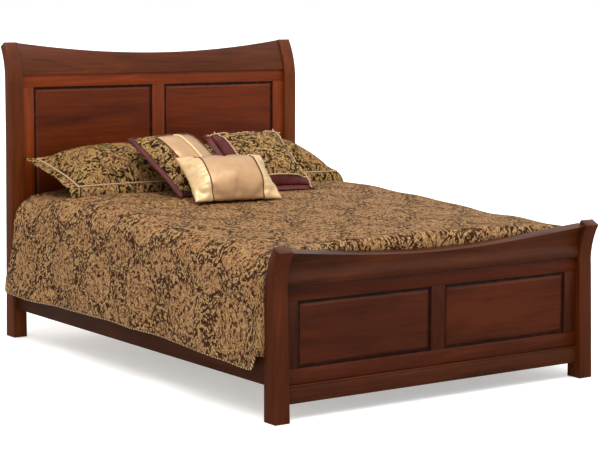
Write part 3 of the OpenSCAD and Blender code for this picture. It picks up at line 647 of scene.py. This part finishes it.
def make_comforter():
    wall = 0.012
    skin_x = rail_out + 0.022
    half_top, turn_steps, skirt_steps = 54, 12, 36
    head_y, foot_y = head_face - 0.028, foot_face + 0.032
    rows = 158
    ys = np.concatenate([np.linspace(head_y, foot_y, rows), np.full(22, foot_y)])
    extra = np.concatenate([np.zeros(rows), np.linspace(0, 1, 23)[1:]])
    points, maps = [], []
    for y, e in zip(ys, extra):
        radius = 0.098 + 0.022 * smoothstep(-y, 0.2, 1.0) + 0.040 * smoothstep(y, 0.5, 1.0)
        flat = skin_x - radius
        zs = top_z(np.array(flat), np.array(y))
        drop = zs - radius - hem_low
        line = []
        for k in range(half_top):
            x = flat * k / half_top
            line.append((x, float(top_z(np.array(x), np.array(y))), 0.0, x))
        for k in range(turn_steps + 1):
            a = math.pi / 2 * k / turn_steps
            line.append(
                (flat + radius * math.sin(a), zs - radius * (1 - math.cos(a)), a, flat + radius * a)
            )
        for k in range(1, skirt_steps + 1):
            t = k / skirt_steps
            line.append(
                (skin_x, zs - radius - drop * t, math.pi / 2 + t, flat + radius * math.pi / 2 + drop * t)
            )
        section = [(-x, z, a, -s) for x, z, a, s in reversed(line[1:])] + line
        for x, z, a, s in section:
            sign = -1.0 if x < 0 else 1.0
            t = max(0.0, a - math.pi / 2)
            low = smoothstep(np.array(t), 0.0, 1.0)
            px, py, pz = x, float(y), z
            if t > 0:
                fold = waves(
                    np.array(y), 11 if sign < 0 else 12, ((0.83, 0.009), (0.47, 0.006), (0.29, 0.003))
                )
                calm = 1 - 0.8 * smoothstep(np.array(-y), 0.80, 1.0)
                px += sign * float(low * (0.014 + fold * calm))
                py += 0.012 * float(low * calm) * math.sin(y * 9.0)
                pz += float(low) * 0.006 * math.sin(y * 5.0 + 1.0)
                dip = smoothstep(np.array(-y), 0.55, 0.97)
                pick_up = smoothstep(np.array(-y), 0.985, 1.02)
                pz += float(low) * (0.060 * float(pick_up) - 0.030 * float(dip))
            # the head end leans back towards the hem
            lean = smoothstep(np.array(y), 0.72, head_y)
            turned = min(a, math.pi / 2) / (math.pi / 2)
            py += float(lean) * (-0.020 * turned + 0.062 * float(low))
            # the foot end turns over the mattress and goes down behind the footboard
            if e > 0:
                depth = 0.225 * (1 - smoothstep(np.array(a), 0.2, 1.5)) + 0.016
                run = e * (depth + 0.02)
                bend = 0.022
                arc = min(run / bend, math.pi / 2)
                away = bend * math.sin(arc)
                down = bend * (1 - math.cos(arc)) + max(0.0, run - bend * math.pi / 2)
                inward = (-math.sin(min(a, math.pi / 2)) * sign, -math.cos(min(a, math.pi / 2)))
                py -= away
                px += inward[0] * down
                pz += inward[1] * down
            points.append((px, py, pz))
            maps.append((y - e * 0.25, s))
    columns = len(section)
    ob = cloth_piece(
        "comforter_quilt", points, grid_faces(len(ys), columns, flip=False), [COVER_CLOTH], maps
    )
    shell = ob.modifiers.new("Filling", "SOLIDIFY")
    shell.thickness = wall
    shell.offset = -1
    apply_all(ob)
    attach(ob, "bed")
    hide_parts("comforter")
    grid = np.array(points).reshape(len(ys), columns, 3)
    return ob, grid, rows


def tube(name, path, radius, finish, lobes=0, pitch=0.03, around=10, closed=False):
    """A round or lobed cord along a path, with its own map: round it, and along it in metres."""
    path = np.asarray(path, dtype=float)
    if closed:
        tangent = np.roll(path, -1, 0) - np.roll(path, 1, 0)
    else:
        tangent = np.gradient(path, axis=0)
    tangent /= np.linalg.norm(tangent, axis=1)[:, None]
    up = np.array([0.0, 0.0, 1.0]) if abs(tangent[0][2]) < 0.9 else np.array([1.0, 0.0, 0.0])
    along = np.concatenate([[0], np.cumsum(np.linalg.norm(np.diff(path, axis=0), axis=1))])
    points, maps = [], []
    side = np.cross(tangent[0], up)
    for p, t, s in zip(path, tangent, along):
        side = side - t * side.dot(t)
        side /= np.linalg.norm(side)
        other = np.cross(t, side)
        for k in range(around + 1):
            a = 2 * math.pi * k / around
            r = radius
            if lobes:
                r *= 0.9 + 0.12 * math.cos(lobes * (a - 2 * math.pi * s / pitch / lobes))
            points.append(p + r * (math.cos(a) * side + math.sin(a) * other))
            maps.append((k / around, s))
    count, ring = len(path), around + 1
    faces = []
    for i in range(count - (0 if closed else 1)):
        j = (i + 1) % count
        for k in range(around):
            faces.append((i * ring + k, i * ring + k + 1, j * ring + k + 1, j * ring + k))
    ob = cloth_piece(name, points, faces, [finish], maps)
    pick_only(ob)
    bpy.ops.object.mode_set(mode="EDIT")
    bpy.ops.mesh.select_all(action="SELECT")
    bpy.ops.mesh.remove_doubles(threshold=0.00001)
    if not closed:
        bpy.ops.mesh.select_all(action="DESELECT")
        bpy.ops.mesh.select_non_manifold()
        bpy.ops.mesh.edge_face_add()
    bpy.ops.mesh.select_all(action="SELECT")
    bpy.ops.mesh.normals_make_consistent(inside=False)
    bpy.ops.object.mode_set(mode="OBJECT")
    return ob


def spaced(path, gap):
    """The same path with points about gap apart."""
    path = np.asarray(path, dtype=float)
    s = np.concatenate([[0], np.cumsum(np.linalg.norm(np.diff(path, axis=0), axis=1))])
    n = max(2, int(s[-1] / gap))
    t = np.linspace(0, s[-1], n)
    return np.stack([np.interp(t, s, path[:, k]) for k in range(3)], 1)


quilt, quilt_grid, quilt_rows = make_comforter()

for column, label in ((0, "left"), (-1, "right")):
    edge = quilt_grid[:quilt_rows, column].copy()
    sign = -1 if column == 0 else 1
    edge[:, 0] += sign * 0.002
    edge[:, 2] -= 0.003
    cord = tube(f"hem_cord_{label}", spaced(edge, 0.004), 0.006, HEM_CORD, 2, 0.032, 12)
    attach(cord, "bed")
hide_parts("comforter_hem_cord")


def soft_block(name, lo, hi, corner, edge, finish, dip=None):
    """A mattress shape: rings of a rounded outline, drawn in at the top and bottom edges."""
    steps = 6
    profile = []
    for k in range(steps + 1):
        a = math.pi / 2 * k / steps
        profile.append((edge * (1 - math.sin(a)), lo.z + edge * (1 - math.cos(a))))
    profile.append((0.0, (lo.z + hi.z) / 2))
    for k in range(steps + 1):
        a = math.pi / 2 * k / steps
        profile.append((edge * (1 - math.cos(a)), hi.z - edge * (1 - math.sin(a))))
    caps = (0.06, 0.14, 0.25, 0.38, 0.52)
    rings = [
        (edge + c * 1.4, lo.z) for c in reversed(caps)
    ] + profile + [(edge + c * 1.4, hi.z) for c in caps]
    per = 16
    points, faces = [], []
    middle = (lo + hi) / 2
    half = (hi - lo) / 2
    for inset, z in rings:
        hx, hy = half.x - inset, half.y - inset
        c = max(0.01, min(corner, hx, hy))
        for q, (sx, sy) in enumerate(((1, 1), (-1, 1), (-1, -1), (1, -1))):
            for k in range(per):
                a = math.pi / 2 * (q + k / (per - 1))
                px = middle.x + sx * (hx - c) + c * math.cos(a)
                py = middle.y + sy * (hy - c) + c * math.sin(a)
                points.append((px, py, z))
    ring = 4 * per
    for i in range(len(rings) - 1):
        for k in range(ring):
            a, b = i * ring + k, i * ring + (k + 1) % ring
            faces.append((a, b, b + ring, a + ring))
    faces.append(tuple(range(ring))[::-1])
    last = (len(rings) - 1) * ring
    faces.append(tuple(range(last, last + ring)))
    pts = np.array(points)
    if dip is not None:
        share = np.clip((pts[:, 2] - lo.z) / (hi.z - lo.z), 0, 1)
        pts[:, 2] -= share * dip(pts[:, 0], pts[:, 1])
    maps = np.stack([pts[:, 0] + 0.3 * pts[:, 2], pts[:, 1] + pts[:, 2]], 1)
    ob = cloth_piece(name, pts, faces, [finish], maps)
    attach(ob, "bed")
    return ob


def mattress_dip(x, y):
    return sag(x, y) + 0.012 + 0.020 * smoothstep(
        np.abs(x), 0.66, 0.762
    ) + 0.010 * smoothstep(np.abs(y), 0.9, 1.01)


mattress = soft_block("mattress_body", mattress_lo, mattress_hi, 0.06, 0.045, QUILTING, mattress_dip)
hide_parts("mattress")
spring = soft_block("box_spring_body", spring_lo, spring_hi - Vector((0, 0, 0.001)), 0.06, 0.018, TICKING)
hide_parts("box_spring")

# ---------------------------------------------------------------- pillows

GRID_STEP = 0.011


def swell(u, power=2.4, root=0.62):
    return np.maximum(0.0, 1 - np.abs(u) ** power) ** root


def line_steps(half, marks):
    """Grid lines from -half to half, with a line at each mark on both sides."""
    stops = sorted({-half, half, *marks, *(-m for m in marks)})
    out = [stops[0]]
    for a, b in zip(stops, stops[1:]):
        n = max(1, round((b - a) / GRID_STEP))
        out += [a + (b - a) * (k + 1) / n for k in range(n)]
    return np.array(out)


def puff(ob, rim, grow, cap):
    """Blows the pillow up as cloth with its seam held, keeps each point within cap of where it was."""
    rest = np.empty(len(ob.data.vertices) * 3)
    ob.data.vertices.foreach_get("co", rest)
    rest = rest.reshape(-1, 3)
    held = ob.vertex_groups.new(name="seam")
    held.add([int(i) for i in rim], 1.0, "REPLACE")
    cloth = ob.modifiers.new("Stuffing", "CLOTH")
    s = cloth.settings
    s.quality = 6
    s.mass = 0.25
    s.tension_stiffness = 12
    s.compression_stiffness = 12
    s.shear_stiffness = 5
    s.bending_stiffness = 0.35
    s.use_pressure = True
    s.uniform_pressure_force = 4
    s.shrink_min = -grow
    s.vertex_group_mass = "seam"
    s.effector_weights.gravity = 0
    cloth.collision_settings.use_collision = False
    cloth.point_cache.frame_start = 1
    cloth.point_cache.frame_end = 20
    for f in range(1, 21):
        scene.frame_set(f)
    view = ob.evaluated_get(bpy.context.evaluated_depsgraph_get())
    moved = np.empty(len(rest) * 3)
    view.data.vertices.foreach_get("co", moved)
    moved = moved.reshape(-1, 3) - rest
    length = np.linalg.norm(moved, axis=1)
    moved *= np.minimum(1, cap / np.maximum(length, 1e-9))[:, None]
    ob.modifiers.remove(cloth)
    ob.vertex_groups.remove(held)
    scene.frame_set(1)
    return rest + moved


class Pillow:
    """One pillow: a stuffed body, a flat flange round it and cords on its lines, then laid on the bed."""

    def __init__(
        self, node, body, size, up, down, flange, place, finishes, zone, marks=((), ()),
        slot="damask", grow=0.03, seed=1, droop=None, fill=0.6,
    ):
        self.node, self.body, self.place, self.seed = node, body, place, seed
        self.flange, self.droop = flange, droop or {}
        half_w, half_h = size[0] / 2 - flange, size[1] / 2 - flange
        self.half = (half_w, half_h)
        xs, ys = line_steps(half_w, marks[0]), line_steps(half_h, marks[1])
        self.xs, self.ys = xs, ys
        n, m = len(xs), len(ys)
        X, Y = np.meshgrid(xs, ys, indexing="ij")
        u, v = X / half_w, Y / half_h
        crown = swell(u) * swell(v)
        pull = 0.05
        px = X * (1 - pull * (1 - v**2) * np.abs(u))
        py = Y * (1 - pull * (1 - u**2) * np.abs(v))
        shape = 0.9
        top = np.stack([px, py, shape * up * crown], -1).reshape(-1, 3)
        low = np.stack([px, py, -shape * down * crown], -1)[1:-1, 1:-1].reshape(-1, 3)
        points = np.concatenate([top, low])

        def top_id(i, j):
            return i * m + j

        def low_id(i, j):
            if i in (0, n - 1) or j in (0, m - 1):
                return i * m + j
            return n * m + (i - 1) * (m - 2) + (j - 1)

        faces, kinds = [], []
        for i in range(n - 1):
            for j in range(m - 1):
                faces.append((top_id(i, j), top_id(i + 1, j), top_id(i + 1, j + 1), top_id(i, j + 1)))
                kinds.append(zone((xs[i] + xs[i + 1]) / 2, (ys[j] + ys[j + 1]) / 2, True))
                faces.append((low_id(i, j), low_id(i, j + 1), low_id(i + 1, j + 1), low_id(i + 1, j)))
                kinds.append(zone((xs[i] + xs[i + 1]) / 2, (ys[j] + ys[j + 1]) / 2, False))
        maps = np.concatenate([
            np.stack([X, Y], -1).reshape(-1, 2) + seed * 0.37,
            np.stack([X, Y], -1)[1:-1, 1:-1].reshape(-1, 2) + seed * 0.37,
        ])
        ob = cloth_piece(node + "_body", points, faces, finishes, maps, kinds)
        rim = [i * m + j for i in range(n) for j in range(m) if i in (0, n - 1) or j in (0, m - 1)]
        points = puff(ob, rim, grow, 0.022)
        self.grid_shape = (n, m)
        self.local_top = points[: n * m].reshape(n, m, 3).copy()
        self.ob, self.rest = ob, points
        self.loose = []
        self.slot = slot
        self.fill = fill

    def lay(self, points, lift=0.0):
        """From the pillow's own places to the bed's, resting on the cover and clear of the headboard."""
        x, y, z, tilt, turn = self.place
        t, a = math.radians(tilt), math.radians(turn)
        p = np.asarray(points, dtype=float)
        y1 = p[..., 1] * math.cos(t) - p[..., 2] * math.sin(t)
        z1 = p[..., 1] * math.sin(t) + p[..., 2] * math.cos(t)
        wx = x + p[..., 0] * math.cos(a) - y1 * math.sin(a)
        wy = np.minimum(y + p[..., 0] * math.sin(a) + y1 * math.cos(a), head_face - 0.004)
        wz = z + z1
        floor_z = top_z(wx, wy) + 0.003 + lift
        out = np.stack([wx, wy, np.maximum(wz, floor_z)], -1)
        return out

    def finish_body(self):
        ob = self.ob
        ob.data.vertices.foreach_set("co", self.lay(self.rest).ravel())
        ob.data.update()
        pick_only(ob)
        sub = ob.modifiers.new("Round", "SUBSURF")
        sub.levels = sub.render_levels = 1
        bpy.ops.object.modifier_apply(modifier=sub.name)
        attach(ob, self.body)
        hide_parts(self.node)

    def seam(self):
        """The seam as one closed line in the pillow's own places."""
        g = self.local_top
        return np.concatenate([g[:-1, 0], g[-1, :-1], g[:0:-1, -1], g[0, :0:-1]])

    def add_flange(self, finish, width=None, waves_high=0.004):
        ring = self.seam()
        n = len(ring)
        rows = 7
        width = width or self.flange
        half_w, half_h = self.half
        rng = np.random.default_rng(self.seed + 40)
        around = np.arange(n) / n * 2 * math.pi
        wave = sum(
            rng.uniform(0.4, 1.0) * np.sin(around * k + rng.uniform(0, 6.28)) for k in (3, 7, 11, 17)
        ) * waves_high / 2
        points, maps = [], []
        for r in range(rows):
            d = r / (rows - 1)
            out_x = ring[:, 0] * (1 + d * width / half_w)
            out_y = ring[:, 1] * (1 + d * width / half_h)
            fall = sum(
                self.droop.get(label, 0.0) * smoothstep(toward, 0.6, 1.0)
                for label, toward in (
                    ("left", -ring[:, 0] / half_w), ("right", ring[:, 0] / half_w),
                    ("bottom", -ring[:, 1] / half_h), ("top", ring[:, 1] / half_h),
                )
            )
            z = wave * d - fall * d**1.5
            out_x = out_x - np.sign(out_x) * 0.3 * fall * d**2
            out_y = out_y - np.sign(out_y) * 0.3 * fall * d**2
            points.append(np.stack([out_x, out_y, z], -1))
            maps.append(np.stack([out_x, out_y], -1) + self.seed * 0.37)
        points = np.concatenate(points)
        faces = []
        for r in range(rows - 1):
            for k in range(n):
                a, b = r * n + k, r * n + (k + 1) % n
                faces.append((a, a + n, b + n, b))
        ob = cloth_piece(
            self.node + "_flange", self.lay(points, 0.001), faces, [finish], np.concatenate(maps)
        )
        wall = ob.modifiers.new("Two layers", "SOLIDIFY")
        wall.thickness = 0.004
        wall.offset = 0
        apply_all(ob)
        self.go_with(ob)
        return ob

    def add_cord(self, label, local, radius, finish, closed=False):
        path = self.lay(local, radius)
        if closed:
            path = np.concatenate([path, path[:1]])
        path = spaced(path, 0.006)
        ob = tube(f"{self.node}_{label}", path, radius, finish, 0, 0.02, 8)
        self.go_with(ob)
        return ob

    def on_line(self, axis, value, beyond=0.0):
        """Places on the front along one grid line, from edge to edge or a little beyond."""
        g = self.local_top
        if axis == "x":
            line = g[int(np.argmin(np.abs(self.xs - value)))]
        else:
            line = g[:, int(np.argmin(np.abs(self.ys - value)))]
        line = line + np.array([0, 0, 0.002])
        if beyond:
            before = line[0] - line[1]
            first = line[0] + before / np.linalg.norm(before) * beyond * np.array([1, 1, 0])
            after = line[-1] - line[-2]
            last = line[-1] + after / np.linalg.norm(after) * beyond * np.array([1, 1, 0])
            first[2] = last[2] = 0.003
            line = np.concatenate([first[None], line, last[None]])
        return line

    def go_with(self, ob):
        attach(ob, self.body)


def everywhere(kind):
    return lambda x, y, front: kind


quarter = (mattress_hi.x - mattress_lo.x) / 4
sham_l = Pillow(
    "sham_left", "sham_left", (0.740, 0.520), 0.104, 0.098, 0.045,
    (-quarter - 0.003, head_face - 0.2725, bed_top + 0.095, 13, -1), [SHAM_CLOTH], everywhere(0), seed=1,
    droop={"bottom": 0.040, "left": 0.012, "right": 0.012},
)
sham_r = Pillow(
    "sham_right", "sham_right", (0.740, 0.520), 0.104, 0.098, 0.045,
    (quarter + 0.003, head_face - 0.2805, bed_top + 0.095, 13, 2), [SHAM_CLOTH], everywhere(0), seed=2,
    droop={"bottom": 0.040, "left": 0.012, "right": 0.012},
)
for p in (sham_l, sham_r):
    p.finish_body()
    p.add_flange(SHAM_CLOTH)
    ring = p.seam()
    ring[:, 2] += 0.004
    p.add_cord("cord", ring, 0.004, PALE_CORD, closed=True)


def left_zone(x, y, front):
    if not front:
        return 2
    return 0 if abs(x) < 0.112 and abs(y) < 0.138 else 1


square_l = Pillow(
    "square_pillow_left", "square_left", (0.430, 0.450), 0.078, 0.062, 0.028,
    (-0.208, head_face - 0.5655, bed_top + 0.137, 36.5, 15), [GOLD, BORDER_CLOTH, BURGUNDY], left_zone,
    ((0.112,), (0.138,)), "gold_satin", 0.04, 3, {"left": 0.014, "right": 0.02, "top": 0.01},
)
square_l.finish_body()
square_l.add_flange(BURGUNDY, 0.016)
for sign in (-1, 1):
    line = square_l.on_line("x", sign * 0.112)
    keep = np.abs(line[:, 1]) < 0.142
    square_l.add_cord(f"piping_x{sign + 1}", line[keep], 0.0035, DARK_CORD)
    line = square_l.on_line("y", sign * 0.138)
    keep = np.abs(line[:, 0]) < 0.116
    square_l.add_cord(f"piping_y{sign + 1}", line[keep], 0.0035, DARK_CORD)
line = square_l.on_line("x", 0.0)
square_l.add_cord("ribbon", line[np.abs(line[:, 1]) < 0.138], 0.006, RIBBON)
seam_ring = square_l.seam()
seam_ring[:, 2] += 0.003
square_l.add_cord("edge_piping", seam_ring, 0.003, BURGUNDY, closed=True)


def right_zone(x, y, front):
    if not front:
        return 1
    return 0 if -0.150 < x < 0.176 and -0.160 < y < 0.184 else 1


square_r = Pillow(
    "square_pillow_right", "square_right", (0.430, 0.450), 0.078, 0.062, 0.028,
    (0.184, head_face - 0.5975, bed_top + 0.137, 36, -2), [BORDER_CLOTH, BURGUNDY], right_zone,
    ((0.150, 0.176), (0.160, 0.184)), "burgundy_damask", 0.04, 4, {
        "right": 0.034, "top": 0.03, "left": 0.006
    },
)
square_r.finish_body()
square_r.add_flange(BURGUNDY)
for label, axis, at in (
    ("left", "x", -0.150), ("right", "x", 0.176), ("low", "y", -0.160), ("high", "y", 0.184)
):
    square_r.add_cord(f"cord_{label}", square_r.on_line(axis, at, 0.022), 0.004, PALE_CORD)


def lumbar_zone(x, y, front):
    return 0 if abs(x) < 0.122 else 1


lumbar = Pillow(
    "lumbar_pillow", "lumbar", (0.424, 0.296), 0.066, 0.056, 0.0,
    (-0.176, head_face - 0.8805, bed_top + 0.093, 37.5, -9), [GOLD, CREAM], lumbar_zone,
    ((0.122,), ()), "gold_satin", 0.05, 5,
)
pleat = lumbar.rest
beyond = np.abs(pleat[:, 0]) - 0.122
fade = smoothstep(beyond, 0.0, 0.012) * (1 - smoothstep(beyond, 0.02, 0.085))
pleat[:, 2] += np.sign(pleat[:, 2]) * fade * 0.004 * np.sin(pleat[:, 1] * 2 * math.pi / 0.026)
lumbar.local_top = pleat[
    : len(lumbar.xs) * len(lumbar.ys)
].reshape(len(lumbar.xs), len(lumbar.ys), 3).copy()
lumbar.finish_body()
for sign in (-1, 1):
    lumbar.add_cord(f"piping_{sign + 1}", lumbar.on_line("x", sign * 0.122), 0.0028, DARK_CORD)

# ---------------------------------------------------------------- floor, light and camera

bpy.ops.object.select_all(action="DESELECT")
bpy.ops.mesh.primitive_plane_add(size=400, location=(0, 0, 0))
floor = bpy.context.active_object
floor.name = "studio_floor"
floor_finish, floor_tree, floor_shader = new_finish("Pale studio floor")
floor_ray = add_node(floor_tree, "ShaderNodeLightPath").outputs
mirrored = floor_ray["Is Glossy Ray"]
# Glossy rays see the floor dark and all other rays see it pale: a painted dark reflection of the floor in
# glossy surfaces.
floor_tone = add_node(
    floor_tree, "ShaderNodeMix", {0: mirrored, 6: (0.86, 0.86, 0.86, 1), 7: (0.1, 0.1, 0.1, 1)},
    data_type="RGBA"
)
floor_tree.links.new(floor_tone.outputs[2], floor_shader.inputs["Base Color"])
floor_shader.inputs["Roughness"].default_value = 0.9
lifted = add_node(floor_tree, "ShaderNodeMath", {0: floor_ray["Is Camera Ray"], 1: 0.4})
lifted.operation = "MULTIPLY"
floor_shader.inputs["Emission Color"].default_value = (1, 1, 1, 1)
floor_tree.links.new(lifted.outputs[0], floor_shader.inputs["Emission Strength"])
floor_shader.inputs["Specular IOR Level"].default_value = 0.1
floor.data.materials.append(floor_finish)

world = bpy.data.worlds.new("Studio")
scene.world = world
world.use_nodes = True
soft = world.node_tree.nodes["Background"]
soft.inputs[0].default_value = (1, 0.98, 0.95, 1)
sky = world.node_tree.nodes.new("ShaderNodeTexCoord").outputs["Generated"]
high = add_node(world.node_tree, "ShaderNodeSeparateXYZ", {0: sky}).outputs[2]
glow = add_node(world.node_tree, "ShaderNodeMapRange", {0: high, 1: -0.1, 2: 0.8, 3: 0.34, 4: 1.15})
seen = add_node(world.node_tree, "ShaderNodeBackground", {0: (1, 1, 1, 1), 1: 1.0})
ray = add_node(world.node_tree, "ShaderNodeLightPath")
world.node_tree.links.new(glow.outputs[0], soft.inputs[1])
both = add_node(
    world.node_tree, "ShaderNodeMixShader",
    {0: ray.outputs["Is Camera Ray"], 1: soft.outputs[0], 2: seen.outputs[0]}
)
world.node_tree.links.new(both.outputs[0], world.node_tree.nodes["World Output"].inputs[0])

key = bpy.data.lights.new("Soft key", "SUN")
key.energy = 2.0
key.angle = math.radians(40)
key_ob = bpy.data.objects.new("Soft key", key)
key_ob.rotation_euler = Vector((0.26, 0.46, -1.0)).to_track_quat("-Z", "Y").to_euler()
bpy.context.collection.objects.link(key_ob)

look = bpy.data.cameras.new("View")
look.sensor_width = 36
look.lens = 1789.85 / 600 * 36
look.shift_x = 50 / 600
look.clip_end = 600
eye = bpy.data.objects.new("View", look)
bpy.context.collection.objects.link(eye)
yaw, pitch = math.radians(-33.753), math.radians(6.844)
forward = Vector((-math.sin(yaw) * math.cos(pitch), math.cos(yaw) * math.cos(pitch), -math.sin(pitch)))
eye.location = (-4.49205, -6.46572, 1.53064)
eye.rotation_euler = forward.to_track_quat("-Z", "Y").to_euler()
scene.camera = eye
